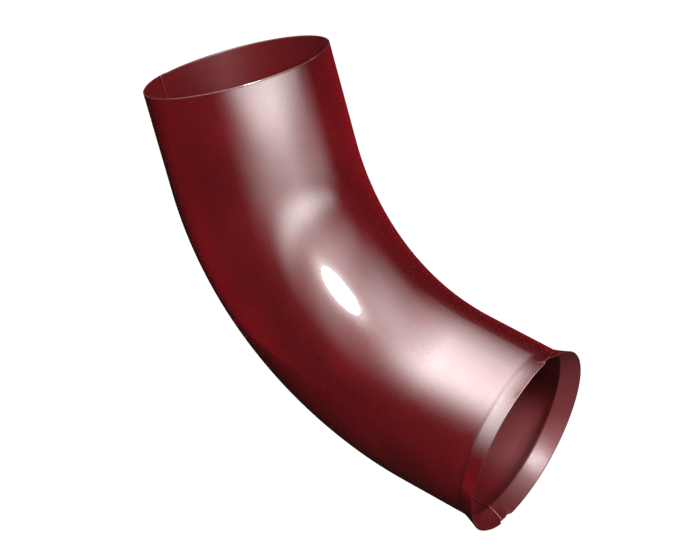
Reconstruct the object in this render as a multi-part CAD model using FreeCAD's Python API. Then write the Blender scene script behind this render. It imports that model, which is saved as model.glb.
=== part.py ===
import FreeCAD, Part
import math
import os

os.makedirs("parts", exist_ok=True)

# Driving dimensions, in mm and degrees
SHEET = 0.5
LAYER_GAP = 0.03
INLET_RADIUS = 50.0
OUTLET_RADIUS = 48.1
BEND_RADIUS = 154.5
BEND_ANGLE = 60.0
INLET_LENGTH = 55.0
OUTLET_LENGTH = 38.8
LIP_LENGTH = 10.4
LIP_GROWTH = 3.6
LIP_CREASE = 2.4
SEAM_HALF_WIDTH = 2.1
HEM_SHORTFALL = 0.25
RAMP_DELAY = 0.4
RAMP_RUN = 6.5
NOTCH_WIDTH = 8.4
NOTCH_DEPTH = 1.2
TAPER_SHARE = 0.85
BEND_STEPS = 16
CREASE_STEPS = 2

# A fold's middle line, from the sheet and the gap between two layers
FOLD_RADIUS = SHEET + LAYER_GAP
FOLD_FLATS = 3
WALL_STRIPS = 8


# Frame of a cross-section: the pipe runs down, then bends towards +X
class Station:
    def __init__(self, travel, angle=0.0):
        turn = math.radians(angle)
        centre = FreeCAD.Vector(BEND_RADIUS, 0, -INLET_LENGTH)
        self.inward = FreeCAD.Vector(math.cos(turn), 0, math.sin(turn))
        self.along = FreeCAD.Vector(math.sin(turn), 0, -math.cos(turn))
        self.origin = centre - self.inward * BEND_RADIUS + self.along * travel

    def at(self, u, w):
        return self.origin + self.inward * u + FreeCAD.Vector(0, -w, 0)


# One curve of the sheet's middle line: centre, radius, start and end angle
class Bend:
    def __init__(self, centre, radius, start, end):
        self.centre = centre
        self.radius = radius
        self.start = start
        self.end = end
        self.tight = radius <= FOLD_RADIUS

    def mirrored(self):
        u, w = self.centre
        return Bend((-u, w), self.radius, math.pi - self.end, math.pi - self.start)

    def turned_over(self):
        u, w = self.centre
        return Bend((u, -w), self.radius, -self.start, -self.end)

    # Points along one face of the sheet: flats for a tight fold, three points for each wide arc
    def side(self, offset):
        sweep = self.end - self.start
        radius = self.radius - (offset if sweep > 0 else -offset)
        strips = WALL_STRIPS if abs(sweep) > 1 else 1
        steps = FOLD_FLATS if self.tight else 2 * strips
        points = []
        for k in range(steps + 1):
            u, w = polar(radius, self.start + sweep * k / steps)
            points.append((self.centre[0] + u, self.centre[1] + w))
        return points


def polar(radius, angle):
    return (radius * math.cos(angle), radius * math.sin(angle))


# Middle lines of the four layers of the seam, counted outwards from the pipe's wall
def layer_radius(outer_radius, layer):
    return outer_radius - SHEET / 2 + (layer - 1) * (SHEET + LAYER_GAP)


# Outer sheet, from its hem over the fold and down the ramp to the wall
def covering_half(outer_radius):
    r1, r2, r4 = (layer_radius(outer_radius, n) for n in (1, 2, 4))
    fold_at = SEAM_HALF_WIDTH / outer_radius
    hem_end = (SEAM_HALF_WIDTH - HEM_SHORTFALL) / outer_radius
    ramp_at = (SEAM_HALF_WIDTH + RAMP_DELAY) / outer_radius
    wall_at = ramp_at + RAMP_RUN / outer_radius
    seam = [
        Bend((0, 0), r2, hem_end, -fold_at),
        Bend(polar((r2 + r4) / 2, -fold_at), FOLD_RADIUS, math.pi - fold_at, 2 * math.pi - fold_at),
        Bend((0, 0), r4, -fold_at, ramp_at),
    ]
    wall = Bend((0, 0), r1, wall_at, math.pi - wall_at)
    return seam + [wall] + [b.mirrored() for b in reversed(seam)]


# Inner sheet, flush with the pipe's inside, folded back over the other sheet's hem
def tucked_half(outer_radius):
    r1, r3 = (layer_radius(outer_radius, n) for n in (1, 3))
    fold_at = SEAM_HALF_WIDTH / outer_radius
    hem_end = (SEAM_HALF_WIDTH - HEM_SHORTFALL) / outer_radius
    fold_centre = polar((r1 + r3) / 2, -fold_at)
    seam = [
        Bend((0, 0), r3, hem_end, -fold_at),
        Bend(fold_centre, FOLD_RADIUS, 2 * math.pi - fold_at, math.pi - fold_at),
    ]
    wall = Bend((0, 0), r1, -fold_at, math.pi + fold_at)
    path = seam + [wall] + [b.mirrored() for b in reversed(seam)]
    return [b.turned_over() for b in path]


# Closed outline of one sheet at one station
def outline(path_of, outer_radius, station, thickness=SHEET):
    path = path_of(outer_radius)
    runs = [(b, b.side(thickness / 2)) for b in path]
    runs += [(b, b.side(-thickness / 2)[::-1]) for b in reversed(path)]
    edges = []
    last = runs[-1][1][-1]
    for bend, flat_points in runs:
        points = [station.at(*p) for p in flat_points]
        if math.dist(last, flat_points[0]) > SHEET / 100:
            edges.append(Part.makeLine(station.at(*last), points[0]))
        if bend.tight:
            edges += [Part.makeLine(a, b) for a, b in zip(points, points[1:])]
        else:
            edges += [Part.Arc(*points[k : k + 3]).toShape() for k in range(0, len(points) - 1, 2)]
        last = flat_points[-1]
    return Part.Wire(edges)


# Outer radius along the bend: an even start and end of the taper
def bend_radius_at(share):
    x = min(share / TAPER_SHARE, 1.0)
    return INLET_RADIUS - (INLET_RADIUS - OUTLET_RADIUS) * x * x * (3 - 2 * x)


# Outer radius along the lip: a soft crease, then a cone
def lip_radius_at(travel):
    slope = LIP_GROWTH / (LIP_LENGTH - LIP_CREASE / 2)
    if travel < LIP_CREASE:
        return OUTLET_RADIUS + slope * travel**2 / (2 * LIP_CREASE)
    return OUTLET_RADIUS + slope * (travel - LIP_CREASE / 2)


def closed_sheet(path_of):
    def wire(radius, travel, angle):
        return outline(path_of, radius, Station(travel, angle))

    top = wire(INLET_RADIUS, -INLET_LENGTH, 0)
    bend = []
    for i in range(BEND_STEPS + 1):
        share = i / BEND_STEPS
        bend.append(wire(bend_radius_at(share), 0, share * BEND_ANGLE))
    crease = []
    for i in range(CREASE_STEPS + 1):
        travel = LIP_CREASE * i / CREASE_STEPS
        crease.append(wire(lip_radius_at(travel), OUTLET_LENGTH + travel, BEND_ANGLE))
    rim = wire(lip_radius_at(LIP_LENGTH), OUTLET_LENGTH + LIP_LENGTH, BEND_ANGLE)

    skins = [
        Part.Face(top),
        top.extrude(Station(0).along * INLET_LENGTH),
        Part.makeLoft(bend, False, False),
        bend[-1].extrude(Station(0, BEND_ANGLE).along * OUTLET_LENGTH),
        Part.makeLoft(crease, False, True),
        Part.makeLoft([crease[-1], rim], False, True),
        Part.Face(rim),
    ]
    shell = Part.makeShell([f for s in skins for f in s.Faces])
    shell.sewShape()
    solid = Part.makeSolid(shell)
    if solid.Volume < 0:
        solid.reverse()
    return solid


# Tool for the two small cut-outs where the seams meet the lip's rim
def rim_notches():
    station = Station(OUTLET_LENGTH + LIP_LENGTH, BEND_ANGLE)
    reach = 2 * (OUTLET_RADIUS + LIP_GROWTH + 4 * SHEET)
    box = Part.makeBox(reach, NOTCH_WIDTH, 2 * NOTCH_DEPTH)
    box.translate(FreeCAD.Vector(-reach / 2, -NOTCH_WIDTH / 2, -NOTCH_DEPTH))
    box.rotate(FreeCAD.Vector(0, 0, 0), FreeCAD.Vector(0, 1, 0), -BEND_ANGLE)
    box.translate(station.origin)
    return box


notches = rim_notches()
for name, path_of in (("near_half_shell", covering_half), ("far_half_shell", tucked_half)):
    half = closed_sheet(path_of).cut(notches)
    half.exportStep("parts/" + name + ".step")
    print(name, half.isValid(), round(half.Volume, 1), half.BoundBox, len(half.Solids), len(half.Faces))
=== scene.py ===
"""Round downspout elbow: two stamped half-shells in gloss wine-red coated steel, locked by folded seams."""

import logging
import math
from dataclasses import dataclass, field
from enum import Enum
from typing import Any, Sequence

import bpy
import numpy as np
from mathutils import Matrix, Vector


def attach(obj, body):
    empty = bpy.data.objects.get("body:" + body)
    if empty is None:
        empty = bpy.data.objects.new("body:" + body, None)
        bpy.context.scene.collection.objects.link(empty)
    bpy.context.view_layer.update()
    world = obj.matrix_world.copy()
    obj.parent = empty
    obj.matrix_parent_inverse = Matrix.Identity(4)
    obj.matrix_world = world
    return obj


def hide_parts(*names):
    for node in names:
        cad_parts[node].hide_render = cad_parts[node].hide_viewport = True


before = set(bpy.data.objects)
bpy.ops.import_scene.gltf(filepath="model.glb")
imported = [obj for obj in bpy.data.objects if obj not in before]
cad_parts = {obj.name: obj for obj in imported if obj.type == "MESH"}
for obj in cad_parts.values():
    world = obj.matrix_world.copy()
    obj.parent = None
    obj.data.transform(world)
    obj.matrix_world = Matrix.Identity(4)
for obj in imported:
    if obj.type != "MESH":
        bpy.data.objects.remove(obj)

MM = 0.001
log = logging.getLogger("elbow")

Number = "float | Value"
Point2 = tuple[float, float]


def direction(azimuth: float, elevation: float) -> Vector:
    """Give the unit vector of a compass direction.

    Args:
        azimuth: Degrees from +X towards +Y.
        elevation: Degrees above the horizon.

    Returns:
        The unit vector.
    """
    a, e = math.radians(azimuth), math.radians(elevation)
    return Vector((math.cos(a) * math.cos(e), math.sin(a) * math.cos(e), math.sin(e)))


def soft_step(x: Any, low: float, high: float) -> Any:
    """Rise smoothly from 0 at one level to 1 at another.

    Args:
        x: Number or array.
        low: Level that gives 0.
        high: Level that gives 1.

    Returns:
        The share, shaped like x.
    """
    share = np.clip((x - low) / (high - low), 0, 1)
    return share * share * (3 - 2 * share)


class Value:
    """A shader number that reads as arithmetic: each operator adds one Math node."""

    def __init__(self, graph: "Graph", socket: bpy.types.NodeSocket) -> None:
        """Wrap one output socket of a graph."""
        self.graph = graph
        self.socket = socket

    def _math(self, operation: str, *terms: Any, clamp: bool = False) -> "Value":
        """Add a Math node.

        Args:
            operation: The Math node's operation.
            terms: Its inputs in order.
            clamp: Keep the result between 0 and 1.

        Returns:
            The node's result.
        """
        node = self.graph.node("ShaderNodeMath", {"operation": operation, "use_clamp": clamp}, dict(enumerate(terms)))
        return Value(self.graph, node.outputs[0])

    def __add__(self, other: Number) -> "Value":
        """Sum."""
        return self._math("ADD", self, other)

    def __radd__(self, other: Number) -> "Value":
        """Reflected sum."""
        return self._math("ADD", other, self)

    def __sub__(self, other: Number) -> "Value":
        """Difference."""
        return self._math("SUBTRACT", self, other)

    def __rsub__(self, other: Number) -> "Value":
        """Reflected difference."""
        return self._math("SUBTRACT", other, self)

    def __mul__(self, other: Number) -> "Value":
        """Product."""
        return self._math("MULTIPLY", self, other)

    def __rmul__(self, other: Number) -> "Value":
        """Reflected product."""
        return self._math("MULTIPLY", other, self)

    def __pow__(self, other: Number) -> "Value":
        """Power."""
        return self._math("POWER", self, other)

    def raised(self) -> "Value":
        """Natural exponential."""
        return self._math("EXPONENT", self)

    def clamped(self) -> "Value":
        """The same number held between 0 and 1."""
        return self._math("ADD", self, 0.0, clamp=True)

    def above(self, low: float, high: float) -> "Value":
        """Rise smoothly from 0 at one level to 1 at another.

        Args:
            low: Level that gives 0.
            high: Level that gives 1.

        Returns:
            The mask.
        """
        node = self.graph.node(
            "ShaderNodeMapRange",
            {"interpolation_type": "SMOOTHSTEP"},
            {"Value": self, "From Min": low, "From Max": high},
        )
        return Value(self.graph, node.outputs["Result"])


class Graph:
    """One material's or world's node tree, built from expressions."""

    def __init__(self, tree: bpy.types.NodeTree) -> None:
        """Start from an empty tree."""
        self.tree = tree
        tree.nodes.clear()

    def node(self, kind: str, settings: dict[str, Any], inputs: dict[Any, Any]) -> bpy.types.Node:
        """Add one node.

        Args:
            kind: The node's type.
            settings: Its own settings, set first; "stops" gives a ramp's stops.
            inputs: Socket name or number to a number, colour, Value or socket.

        Returns:
            The new node.
        """
        made = self.tree.nodes.new(kind)
        for name, setting in settings.items():
            if name == "stops":
                for element, (place, colour) in zip(made.color_ramp.elements, setting):
                    element.position = place
                    element.color = colour
            else:
                setattr(made, name, setting)
        for key, given in inputs.items():
            socket = made.inputs[key]
            if isinstance(given, Value):
                self.tree.links.new(given.socket, socket)
            elif isinstance(given, bpy.types.NodeSocket):
                self.tree.links.new(given, socket)
            else:
                socket.default_value = given
        return made

    def attribute(self, name: str) -> Value:
        """Read a number kept on the mesh's points.

        Args:
            name: The attribute's name.

        Returns:
            Its value.
        """
        made = self.node("ShaderNodeAttribute", {"attribute_name": name}, {})
        return Value(self, made.outputs["Fac"])

    def noise(self, scale: float, detail: float = 2.0, stretch: Sequence[float] = (1, 1, 1), rough: float = 0.5) -> Value:
        """Soft random pattern fixed to the piece.

        Args:
            scale: Features per metre.
            detail: Octaves of finer pattern.
            stretch: Scale of the three axes.
            rough: Share of each finer octave.

        Returns:
            The pattern, about 0.5 on average.
        """
        place = self.node("ShaderNodeTexCoord", {}, {}).outputs["Object"]
        mapped = self.node("ShaderNodeMapping", {}, {"Vector": place, "Scale": tuple(stretch)})
        made = self.node(
            "ShaderNodeTexNoise",
            {"noise_dimensions": "3D"},
            {"Vector": mapped.outputs["Vector"], "Scale": scale, "Detail": detail, "Roughness": rough},
        )
        return Value(self, made.outputs[0])

    def blend(self, factor: Number, first: Any, second: Any) -> bpy.types.NodeSocket:
        """Mix two colours.

        Args:
            factor: Share of the second.
            first: Colour at 0.
            second: Colour at 1.

        Returns:
            The mixed colour.
        """
        made = self.node("ShaderNodeMix", {"data_type": "RGBA"}, {0: factor, 6: first, 7: second})
        return made.outputs[2]

    def bump(self, height: Value, depth: float, below: Any = None) -> bpy.types.NodeSocket:
        """Shade a surface as if it had relief.

        Args:
            height: Relief from 0 to 1.
            depth: Its full height in metres.
            below: Normal of a coarser relief under it.

        Returns:
            The new normal.
        """
        inputs = {"Height": height, "Distance": depth, "Strength": 1.0}
        if below is not None:
            inputs["Normal"] = below
        return self.node("ShaderNodeBump", {}, inputs).outputs["Normal"]


@dataclass(frozen=True)
class WinePaint:
    """Gloss wine-red coating on zinc-coated steel sheet, worn thin on its cut edges, with painted sheen and painted
    shade laid on by mesh attributes.
    """

    colour: tuple[float, ...] = (0.135, 0.0052, 0.0075, 1)
    deep: tuple[float, ...] = (0.092, 0.0034, 0.0050, 1)
    edge: tuple[float, ...] = (0.045, 0.004, 0.006, 1)
    # Pale mauve of the painted sheen, standing in for light reflected inside the outlet and on the lip's inner flare.
    painted_sheen: tuple[float, ...] = (0.195, 0.037, 0.042, 1)
    # Near-black of the painted shade in creases, in the tucked fold and at the shadowed top inside the outlet.
    shade: tuple[float, ...] = (0.022, 0.0012, 0.0018, 1)
    roughness: float = 0.26
    ior: float = 1.60
    coat_roughness: float = 0.045
    coat_ior: float = 1.55

    def material(self, name: str) -> bpy.types.Material:
        """Build the finish.

        Args:
            name: Name of the material.

        Returns:
            The material.
        """
        made = bpy.data.materials.new(name)
        made.use_nodes = True
        g = Graph(made.node_tree)
        cloud = g.noise(28, 3)
        mottle = g.noise(420, 2)
        edge = g.attribute("cut_edge")
        inside = g.attribute("inside")
        tone = g.blend(cloud.above(0.30, 0.72), self.colour, self.deep)
        # Painted sheen: the pale mauve is blended in by the mesh's sheen share.
        painted_sheen = g.blend((g.attribute("painted_sheen_mask") * (0.7 + 0.6 * cloud)).clamped(), tone, self.painted_sheen)
        # Painted shade: near-black blended in by the mesh's shade share.
        shaded = g.blend(g.attribute("shade"), painted_sheen, self.shade)
        base = g.blend((edge * (0.55 + 0.45 * mottle)).clamped(), shaded, self.edge)
        rough = self.roughness + 0.10 * (mottle - 0.5) + 0.05 * (cloud - 0.5) + 0.10 * inside + 0.4 * edge
        waves = g.bump(g.noise(60, 1), 0.00010)
        peel = g.bump(mottle, 0.000010, waves)
        shader = g.node(
            "ShaderNodeBsdfPrincipled",
            {},
            {
                "Base Color": base,
                "Roughness": rough,
                "IOR": self.ior,
                "Coat Weight": (1 - edge) * (1 - inside),
                "Coat Roughness": self.coat_roughness,
                "Coat IOR": self.coat_ior,
                "Normal": peel,
            },
        )
        g.node("ShaderNodeOutputMaterial", {}, {"Surface": shader.outputs[0]})
        return made


class Role(Enum):
    """What a half-shell does in the two folded seams."""

    COVERING = "covering"
    TUCKED = "tucked"


@dataclass(frozen=True)
class Arc:
    """One arc of a sheet's middle line in a cross-section."""

    centre: Point2
    radius: float
    start: float
    end: float
    steps: int

    def mirrored(self) -> "Arc":
        """The same arc on the other seam, run backwards."""
        u, w = self.centre
        return Arc((-u, w), self.radius, math.pi - self.end, math.pi - self.start, self.steps)

    def sampled(self) -> tuple[np.ndarray, np.ndarray]:
        """Give evenly spaced points and the sheet's normals there.

        Returns:
            Points and right-hand normals, one row each.
        """
        angle = np.linspace(self.start, self.end, self.steps + 1)
        outward = np.stack([np.cos(angle), np.sin(angle)], 1)
        side = 1.0 if self.end > self.start else -1.0
        return np.array(self.centre) + self.radius * outward, side * outward


@dataclass(frozen=True)
class Ramp:
    """The soft step by which the outer sheet comes down from the seam to the wall."""

    high: float
    low: float
    start: float
    end: float
    steps: int
    ease: float = 0.48

    def mirrored(self) -> "Ramp":
        """The same step on the other seam, run backwards."""
        return Ramp(self.low, self.high, math.pi - self.end, math.pi - self.start, self.steps, self.ease)

    def sampled(self) -> tuple[np.ndarray, np.ndarray]:
        """Give points of the step and the sheet's normals there.

        Returns:
            Points and right-hand normals, one row each.
        """
        x = np.linspace(0, 1, 401)
        slope = np.clip(np.minimum(x, 1 - x) / self.ease, 0, 1)
        share = np.cumsum(slope)
        share = (share - share[0]) / (share[-1] - share[0])
        angle = self.start + (self.end - self.start) * x
        reach = self.high + (self.low - self.high) * share
        line = np.stack([reach * np.cos(angle), reach * np.sin(angle)], 1)
        run = np.gradient(line, axis=0)
        run /= np.linalg.norm(run, axis=1, keepdims=True)
        normal = np.stack([run[:, 1], -run[:, 0]], 1)
        picked = np.linspace(0, 400, self.steps + 1).round().astype(int)
        return line[picked], normal[picked]


@dataclass(frozen=True)
class PipeRun:
    """The elbow's middle line and its outer radius: inlet straight, tapered bend, outlet straight, flared lip."""

    inlet_radius: float = 50.0 * MM
    outlet_radius: float = 48.1 * MM
    bend_radius: float = 154.5 * MM
    bend_angle: float = math.radians(60)
    inlet_length: float = 55.0 * MM
    outlet_length: float = 38.8 * MM
    lip_length: float = 10.4 * MM
    lip_growth: float = 3.6 * MM
    lip_crease: float = 1.2 * MM
    lip_slope: float = 0.30
    taper_share: float = 0.85
    bend_steps: int = 56

    @property
    def bend_length(self) -> float:
        """Length of the bend along its middle line."""
        return self.bend_radius * self.bend_angle

    @property
    def length(self) -> float:
        """Whole length along the middle line."""
        return self.inlet_length + self.bend_length + self.outlet_length + self.lip_length

    def frame_at(self, travel: float) -> tuple[np.ndarray, np.ndarray, np.ndarray]:
        """Place a cross-section.

        Args:
            travel: Distance along the middle line from the inlet's rim.

        Returns:
            Its origin, its direction towards the bend's inner side, and its direction of flow.
        """
        past = travel - self.inlet_length
        turn = min(max(past / self.bend_radius, 0.0), self.bend_angle)
        straight = past if past < 0 else max(past - self.bend_length, 0.0)
        inward = np.array([math.cos(turn), 0.0, math.sin(turn)])
        along = np.array([math.sin(turn), 0.0, -math.cos(turn)])
        centre = np.array([self.bend_radius, 0.0, -self.inlet_length])
        return centre - inward * self.bend_radius + along * straight, inward, along

    def radius_at(self, travel: float) -> float:
        """Give the pipe's outer radius.

        Args:
            travel: Distance along the middle line from the inlet's rim.

        Returns:
            The radius.
        """
        share = (travel - self.inlet_length) / self.bend_length
        x = min(max(share / self.taper_share, 0.0), 1.0)
        radius = self.inlet_radius - (self.inlet_radius - self.outlet_radius) * x * x * (3 - 2 * x)
        lip = travel - (self.length - self.lip_length)
        if lip <= 0:
            return radius
        slope, crease = self.lip_slope, self.lip_crease
        if lip < crease:
            return radius + slope * lip * lip / (2 * crease)
        roll = (self.lip_growth - slope * (self.lip_length - crease / 2)) / (self.lip_length - crease) ** 2
        return radius + slope * (lip - crease / 2) + roll * (lip - crease) ** 2

    def stations(self, edge: float) -> np.ndarray:
        """List where cross-sections go.

        Args:
            edge: Rounding of the cut rims.

        Returns:
            Travels from rim to rim.
        """
        lip = self.length - self.lip_length
        bend_end = self.inlet_length + self.bend_length
        return np.concatenate([
            [0, 0.3 * edge, edge, 1.0 * MM, 2.5 * MM],
            np.linspace(5 * MM, self.inlet_length, 14),
            np.linspace(self.inlet_length, bend_end, self.bend_steps + 1)[1:],
            np.linspace(bend_end, lip, 10)[1:-1],
            lip - np.array([1.8, 1.0, 0.4, 0]) * MM,
            lip + np.linspace(0, self.lip_crease, 9)[1:],
            lip + np.linspace(self.lip_crease, self.lip_length - 2.6 * MM, 9)[1:],
            self.length - np.array([1.4 * MM, 0.5 * MM, edge, 0.3 * edge, 0]),
        ])


@dataclass
class HalfShell:
    """One stamped half of the elbow with its two folded edges."""

    node: str
    slot: str
    role: Role
    run: PipeRun = field(default_factory=PipeRun)
    sheet: float = 0.34 * MM
    gap: float = 0.01 * MM
    seam_half_width: float = 2.1 * MM
    hem_shortfall: float = 0.25 * MM
    ramp_delay: float = 0.4 * MM
    ramp_run: float = 25.0 * MM
    edge: float = 0.12 * MM
    inset: float = 0.01 * MM
    notch_width: float = 8.4 * MM
    notch_depth: float = 1.2 * MM
    wall_steps: int = 96
    fold_steps: int = 12

    def layer(self, outer: float, count: int) -> float:
        """Give a seam layer's middle radius.

        Args:
            outer: The pipe's outer radius.
            count: Layer counted outwards from the wall.

        Returns:
            The radius.
        """
        return outer - self.sheet / 2 + (count - 1) * (self.sheet + self.gap)

    def middle_line(self, outer: float) -> list[Arc | Ramp]:
        """List the parts of the sheet's middle line in one cross-section.

        Args:
            outer: The pipe's outer radius there.

        Returns:
            Arcs and ramps from one seam to the other.
        """
        r1, r2, r3, r4 = (self.layer(outer, n) for n in (1, 2, 3, 4))
        fold = self.seam_half_width / outer
        hem = (self.seam_half_width - self.hem_shortfall) / outer
        ramp = (self.seam_half_width + self.ramp_delay) / outer
        wall = ramp + self.ramp_run / outer
        fold_radius = self.sheet + self.gap
        if self.role is Role.COVERING:
            middle = (r2 + r4) / 2
            centre = (middle * math.cos(fold), -middle * math.sin(fold))
            seam = [
                Arc((0, 0), r2, hem, -fold, 4),
                Arc(centre, fold_radius, math.pi - fold, 2 * math.pi - fold, self.fold_steps),
                Arc((0, 0), r4, -fold, ramp, 4),
                Ramp(r4, r1, ramp, wall, 26),
            ]
            body = Arc((0, 0), r1, wall, math.pi - wall, self.wall_steps)
        else:
            middle = (r1 + r3) / 2
            centre = (middle * math.cos(fold), -middle * math.sin(fold))
            seam = [
                Arc((0, 0), r3, hem, -fold, 4),
                Arc(centre, fold_radius, 2 * math.pi - fold, math.pi - fold, self.fold_steps),
            ]
            body = Arc((0, 0), r1, -fold, math.pi + fold, self.wall_steps + 8)
        return seam + [body] + [part.mirrored() for part in reversed(seam)]

    def section(self, outer: float) -> tuple[np.ndarray, np.ndarray]:
        """Sample the whole middle line of one cross-section.

        Args:
            outer: The pipe's outer radius there.

        Returns:
            Points and normals, one row each, from cut edge to cut edge.
        """
        points, normals = [], []
        for part in self.middle_line(outer):
            place, normal = part.sampled()
            skip = 1 if points else 0
            points.append(place[skip:])
            normals.append(normal[skip:])
        flat, out = np.concatenate(points), np.concatenate(normals)
        if self.role is Role.TUCKED:
            flat[:, 1] *= -1
            out[:, 1] *= -1
        return flat, out

    def grid(self) -> tuple[np.ndarray, np.ndarray, np.ndarray]:
        """Work out every point of the sheet's two faces.

        Returns:
            Points as station, face, place along the section; for each the distance to the nearer rim; and
            for each whether it is on the pipe's inner face, its share of painted sheen and its share of painted shade
            in folds, creases and corners.
        """
        rows, rims, tones = [], [], []
        for travel in self.run.stations(self.edge):
            flat, out = self.section(self.run.radius_at(travel))
            near_notch = np.abs(flat[:, 1]) - self.notch_width / 2
            cut = self.notch_depth * np.clip(1 - near_notch / (0.25 * MM), 0, 1)
            left = self.run.length - travel
            reach = 6 * MM
            back = cut * np.clip((reach - left) / (reach - 2 * self.edge), 0, 1) if left < reach else 0 * cut
            rim = min(travel, left)
            half = self.sheet / 2 - self.inset - max(0.0, self.edge - rim) * 0.8
            faces = []
            for side in (1.0, -1.0):
                spread = flat + side * half * out
                stations = [self.run.frame_at(travel - b) for b in back]
                origin = np.array([s[0] for s in stations])
                inward = np.array([s[1] for s in stations])
                faces.append(origin + inward * spread[:, :1] + np.array([0, -1, 0]) * spread[:, 1:])
            rows.append(faces)
            rims.append(np.full((2, len(flat)), min(travel, 0.4 * left)))
            tones.append(self.tones(flat, travel, left - self.run.lip_length))
        return np.array(rows), np.array(rims), np.array(tones)

    def tones(self, flat: np.ndarray, travel: float, depth: float) -> np.ndarray:
        """Say how one cross-section's two faces are coloured.

        Args:
            flat: Points of the middle line.
            travel: Distance along the pipe from the inlet's rim.
            depth: Distance inwards from the lip's crease, negative on the lip.

        Returns:
            Inside, painted sheen and painted shade for the outer and the inner face.
        """
        reach_out = np.linalg.norm(flat, axis=1)
        throat = flat[:, 0] / reach_out
        past = np.clip((travel / self.run.length - 0.35) / 0.4, 0, 1)
        rise = soft_step(depth, 1 * MM, 7 * MM)
        heel = soft_step(-throat, 0.0, 0.45) * (1 - soft_step(-throat, 0.72, 1.0))
        # Painted shade along the inside of the lip's crease.
        crease = 0.75 * math.exp(-((depth - 1 * MM) / (3 * MM)) ** 2)
        if depth > 0:
            # Painted sheen inside the pipe: strongest on the heel side towards the outlet, thin elsewhere.
            painted_sheen_mask = 0.04 + 0.96 * past * rise * heel
            # Painted shade: darker on the throat side inside the outlet, where the rim's shadow falls.
            shade = np.maximum(crease, 0.9 * past * soft_step(throat, -0.5, 0.1))
        else:
            # Painted sheen on the lip's inner flare, fading out towards the heel.
            painted_sheen_mask = 0.75 - 0.75 * soft_step(-throat, 0.55, 0.85)
            shade = 0 * throat
        # Painted shade in the groove of the lip's outer crease.
        groove = math.exp(-((depth + 0.6 * MM) / (0.7 * MM)) ** 2)
        # Painted shade on the tucked half's fold under the seam.
        tucked = (np.abs(flat[:, 1]) < 1.3 * self.seam_half_width) * (self.role is Role.TUCKED)
        hidden = np.maximum(0.9 * groove, tucked)
        # Rows are inside, painted sheen and painted shade; the outer face takes painted shade in the groove and on the
        # tucked fold.
        return np.array([[hidden, 1 + 0 * throat], [0 * throat, painted_sheen_mask], [0.8 * hidden, shade]])

    def build(self) -> bpy.types.Object:
        """Make the sheet's mesh.

        Returns:
            The new object, in place.
        """
        grid, rims, tones = self.grid()
        stations, _, count, _ = grid.shape
        ring = 2 * count
        loops = np.concatenate([grid[:, 0], grid[:, 1, ::-1]], axis=1)
        rim = np.concatenate([rims[:, 0], rims[:, 1, ::-1]], axis=1)
        tone = np.concatenate([tones[:, :, 0], tones[:, :, 1, ::-1]], axis=2)
        faces = []
        for i in range(stations - 1):
            for j in range(ring):
                a, b = i * ring + j, i * ring + (j + 1) % ring
                faces.append((a, b, b + ring, a + ring))
        last = (stations - 1) * ring
        for j in range(count - 1):
            o1, o2, i2, i1 = j, j + 1, ring - 2 - j, ring - 1 - j
            faces.append((o2, o1, i1, i2))
            faces.append((last + o1, last + o2, last + i2, last + i1))
        if self.role is Role.TUCKED:
            faces = [f[::-1] for f in faces]
        mesh = bpy.data.meshes.new(self.node + "_sheet")
        mesh.from_pydata(loops.reshape(-1, 3).tolist(), [], faces)
        mesh.validate()
        mesh.polygons.foreach_set("use_smooth", [True] * len(mesh.polygons))
        worn = np.clip(1 - rim / (1.5 * self.edge), 0, 1)
        # The sheen and shade shares below are painted light and painted shade.
        named = {"cut_edge": worn, "inside": tone[:, 0], "painted_sheen_mask": tone[:, 1], "shade": tone[:, 2]}
        for name, numbers in named.items():
            kept = mesh.attributes.new(name, "FLOAT", "POINT")
            kept.data.foreach_set("value", numbers.reshape(-1).astype(np.float32))
        made = bpy.data.objects.new(self.node + "_sheet", mesh)
        bpy.context.scene.collection.objects.link(made)
        return made

    def place(self, finish: WinePaint) -> bpy.types.Object:
        """Build and dress the sheet and let it stand for its CAD node.

        Args:
            finish: The coating.

        Returns:
            The finished piece.
        """
        piece = self.build()
        piece.data.materials.append(finish.material(self.slot))
        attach(piece, "root")
        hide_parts(self.node)
        log.info("%s: %d points, %d faces", piece.name, len(piece.data.vertices), len(piece.data.polygons))
        return piece


@dataclass(frozen=True)
class Lamp:
    """A soft studio lamp aimed at the elbow."""

    name: str
    azimuth: float
    elevation: float
    width: float
    height: float
    radiance: float
    distance: float = 1.5
    round: bool = False
    lights: bool = True
    mirrors: bool = True
    aim: tuple[float, float, float] = (0.045, -0.02, -0.14)

    def place(self) -> bpy.types.Object:
        """Add the lamp.

        Returns:
            The light object.
        """
        data = bpy.data.lights.new(self.name, "AREA")
        data.shape = "ELLIPSE" if self.round else "RECTANGLE"
        data.size, data.size_y = self.width, self.height
        share = math.pi / 4 if self.round else 1.0
        data.energy = self.radiance * math.pi * self.width * self.height * share
        lamp = bpy.data.objects.new(self.name, data)
        bpy.context.scene.collection.objects.link(lamp)
        towards = direction(self.azimuth, self.elevation)
        lamp.location = Vector(self.aim) + towards * self.distance
        lamp.rotation_mode = "QUATERNION"
        lamp.rotation_quaternion = towards.to_track_quat("Z", "Y")
        lamp.visible_camera = False
        lamp.visible_diffuse = self.lights
        lamp.visible_glossy = self.mirrors
        log.info("lamp %s", self.name)
        return lamp


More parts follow.
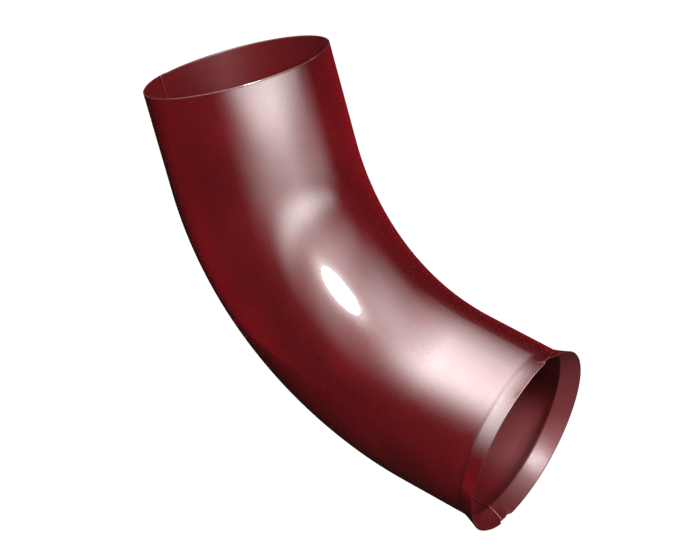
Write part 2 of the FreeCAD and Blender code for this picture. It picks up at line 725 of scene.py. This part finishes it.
@dataclass(frozen=True)
class Card:
    """A soft reflector card that shows only in the gloss: bright in its middle, fading to nothing."""

    name: str
    azimuth: float
    elevation: float
    distance: float
    half_width: float
    half_height: float
    strength: float
    colour: tuple[float, float, float, float] = (1, 1, 1, 1)
    reach: float = 3.0
    aim: tuple[float, float, float] = (0.045, -0.02, -0.14)

    def material(self) -> bpy.types.Material:
        """Build the card's glow.

        Returns:
            The material.
        """
        made = bpy.data.materials.new(self.name)
        made.use_nodes = True
        g = Graph(made.node_tree)
        place = g.node("ShaderNodeTexCoord", {}, {}).outputs["Object"]
        spread = g.node("ShaderNodeVectorMath", {"operation": "DOT_PRODUCT"}, {0: place, 1: place})
        glow = self.strength * (-0.5 * Value(g, spread.outputs["Value"])).raised()
        light = g.node("ShaderNodeEmission", {}, {"Color": self.colour, "Strength": glow})
        clear = g.node("ShaderNodeBsdfTransparent", {}, {"Color": (1, 1, 1, 1)})
        both = g.node("ShaderNodeAddShader", {}, {0: light.outputs[0], 1: clear.outputs[0]})
        g.node("ShaderNodeOutputMaterial", {}, {"Surface": both.outputs[0]})
        made.cycles.emission_sampling = "NONE"
        return made

    def place(self) -> bpy.types.Object:
        """Stand the card up, facing the elbow.

        Returns:
            The card.
        """
        r = self.reach
        mesh = bpy.data.meshes.new(self.name)
        turns = [2 * math.pi * k / 40 for k in range(40)]
        mesh.from_pydata([(r * math.cos(t), r * math.sin(t), 0) for t in turns], [], [tuple(range(40))])
        mesh.materials.append(self.material())
        card = bpy.data.objects.new(self.name, mesh)
        bpy.context.scene.collection.objects.link(card)
        towards = direction(self.azimuth, self.elevation)
        card.location = Vector(self.aim) + towards * self.distance
        card.rotation_mode = "QUATERNION"
        card.rotation_quaternion = towards.to_track_quat("Z", "Y")
        card.scale = (self.half_width, self.half_height, 1)
        card.visible_camera = False
        card.visible_diffuse = False
        card.visible_transmission = False
        card.visible_shadow = False
        return card


@dataclass
class Studio:
    """Pale floor, white surround, a dark drape that only reflections see, lamps, cards and camera."""

    floor_height: float = -0.60
    floor_radius: float = 12.0
    drape_radius: float = 3.4
    fill: float = 0.42
    lamps: tuple[Lamp, ...] = (Lamp("round_lamp", -38, 26, 0.53, 0.53, 31.0, round=True),)
    cards: tuple[Card, ...] = (
        Card("near_card", -29, 5.0, 0.43, 0.20, 0.024, 7.8),
        Card("near_high_card", -32, 60, 0.45, 0.43, 0.155, 2.0),
        Card("low_card", -25, -17.2, 1.1, 0.66, 0.14, 3.0),
        Card("tall_card", -16, 22, 1.2, 0.17, 0.90, 1.0),
        Card("middle_card", -32, 20, 1.2, 0.79, 0.16, 2.2),
        Card("high_card", -48, 52.6, 1.2, 0.88, 0.20, 1.6),
        Card("top_card", -84, 77.0, 1.2, 0.22, 0.42, 6.6),
        Card("roof_card", 85, 88, 1.2, 0.33, 0.68, 4.8),
        Card("lip_card", -136, 56, 1.2, 0.36, 0.42, 6.0),
        Card("right_card", 90, -16, 1.2, 0.60, 0.30, 0.35, (1, 0.02, 0.04, 1)),
        Card("left_card", -160, -22, 1.0, 0.34, 0.26, 0.45, (1, 0.02, 0.04, 1)),
    )
    eye: tuple[float, float, float] = (0.85178, -1.01281, 0.26698)
    image_right: tuple[float, float, float] = (0.79825, 0.54635, -0.25359)
    image_down: tuple[float, float, float] = (-0.03418, -0.37925, -0.92466)
    image_forward: tuple[float, float, float] = (-0.60136, 0.74678, -0.28406)
    focal_pixels: float = 2600.0
    image_width: float = 700.0

    def shown(self, g: Graph) -> Value:
        """Tell rays that see the background from rays that light the object.

        Args:
            g: The graph to build in.

        Returns:
            1 for camera, glossy and transmission rays.
        """
        path = g.node("ShaderNodeLightPath", {}, {})
        seen = [Value(g, path.outputs[n]) for n in ("Is Camera Ray", "Is Glossy Ray", "Is Transmission Ray")]
        return (seen[0] + seen[1] + seen[2]).clamped()

    def surround(self) -> None:
        """Make the world white where it is seen and a soft grey where it lights."""
        world = bpy.data.worlds.new("surround")
        world.use_nodes = True
        bpy.context.scene.world = world
        g = Graph(world.node_tree)
        strength = self.fill + (1 - self.fill) * self.shown(g)
        shader = g.node("ShaderNodeBackground", {}, {"Color": (1, 1, 1, 1), "Strength": strength})
        g.node("ShaderNodeOutputWorld", {}, {"Surface": shader.outputs[0]})

    def disc(self, name: str, radius: float, height: float) -> bpy.types.Object:
        """Make a round flat sheet.

        Args:
            name: Its name.
            radius: Its radius.
            height: Its height above the origin.

        Returns:
            The new object.
        """
        turns = [2 * math.pi * k / 96 for k in range(96)]
        mesh = bpy.data.meshes.new(name)
        mesh.from_pydata([(radius * math.cos(t), radius * math.sin(t), height) for t in turns], [], [tuple(range(96))])
        made = bpy.data.objects.new(name, mesh)
        bpy.context.scene.collection.objects.link(made)
        return made

    def floor(self) -> bpy.types.Object:
        """Lay the pale floor, well below the hanging elbow.

        Returns:
            The floor.
        """
        floor = self.disc("floor", self.floor_radius, self.floor_height)
        paint = bpy.data.materials.new("floor_white")
        paint.use_nodes = True
        g = Graph(paint.node_tree)
        dull = g.node("ShaderNodeBsdfDiffuse", {}, {"Color": (0.55, 0.55, 0.55, 1)})
        glow = g.node("ShaderNodeEmission", {}, {"Color": (1, 1, 1, 1), "Strength": 0.80 * self.shown(g)})
        both = g.node("ShaderNodeAddShader", {}, {0: dull.outputs[0], 1: glow.outputs[0]})
        g.node("ShaderNodeOutputMaterial", {}, {"Surface": both.outputs[0]})
        paint.cycles.emission_sampling = "NONE"
        floor.data.materials.append(paint)
        return floor

    def drape(self) -> bpy.types.Object:
        """Hang the dark cloth round the set that gives the gloss its dark edges.

        Returns:
            The drape.
        """
        mesh = bpy.data.meshes.new("drape")
        rings, turns = 18, 36
        points = []
        for i in range(rings + 1):
            polar = math.pi * (0.001 + 0.998 * i / rings)
            for k in range(turns):
                a = 2 * math.pi * k / turns
                points.append((math.sin(polar) * math.cos(a), math.sin(polar) * math.sin(a), math.cos(polar)))
        faces = []
        for i in range(rings):
            for k in range(turns):
                n = (k + 1) % turns
                faces.append((i * turns + k, i * turns + n, (i + 1) * turns + n, (i + 1) * turns + k))
        low = self.floor_height + 0.01
        size = self.drape_radius
        mesh.from_pydata([(size * x, size * y, max(size * z, low)) for x, y, z in points], [], faces)
        cloth = bpy.data.materials.new("drape_black")
        cloth.use_nodes = True
        g = Graph(cloth.node_tree)
        dull = g.node("ShaderNodeBsdfDiffuse", {}, {"Color": (0.01, 0.01, 0.01, 1)})
        g.node("ShaderNodeOutputMaterial", {}, {"Surface": dull.outputs[0]})
        mesh.materials.append(cloth)
        made = bpy.data.objects.new("drape", mesh)
        bpy.context.scene.collection.objects.link(made)
        made.visible_camera = False
        made.visible_diffuse = False
        made.visible_shadow = False
        made.visible_transmission = False
        return made

    def camera(self) -> bpy.types.Object:
        """Stand the camera where the photograph was taken.

        Returns:
            The camera.
        """
        data = bpy.data.cameras.new("camera")
        data.sensor_width = 36.0
        data.lens = self.focal_pixels / self.image_width * data.sensor_width
        data.clip_start, data.clip_end = 0.05, 60.0
        camera = bpy.data.objects.new("camera", data)
        bpy.context.scene.collection.objects.link(camera)
        right, down, forward = (Vector(v) for v in (self.image_right, self.image_down, self.image_forward))
        turn = Matrix((right, -down, -forward)).transposed().to_4x4()
        camera.matrix_world = Matrix.Translation(self.eye) @ turn
        bpy.context.scene.camera = camera
        return camera

    def build(self) -> None:
        """Set up everything round the elbow."""
        self.camera()
        self.surround()
        self.floor()
        self.drape()
        for light in (*self.lamps, *self.cards):
            light.place()
        bpy.context.scene.view_settings.view_transform = "Standard"


@dataclass
class Elbow:
    """The whole downspout elbow."""

    paint: WinePaint = field(default_factory=WinePaint)
    near: HalfShell = field(default_factory=lambda: HalfShell("near_half_shell", "near_half_paint", Role.COVERING))
    far: HalfShell = field(default_factory=lambda: HalfShell("far_half_shell", "far_half_paint", Role.TUCKED))

    def build(self) -> list[bpy.types.Object]:
        """Build both half-shells.

        Returns:
            The finished pieces.
        """
        return [half.place(self.paint) for half in (self.near, self.far)]


def main() -> None:
    """Build the studio and the elbow, and log how many pieces there are."""
    logging.basicConfig(level=logging.INFO, format="%(name)s: %(message)s")
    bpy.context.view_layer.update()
    Studio().build()
    pieces = Elbow().build()
    log.info("%d pieces", len(pieces))


if __name__ == "__main__":
    main()
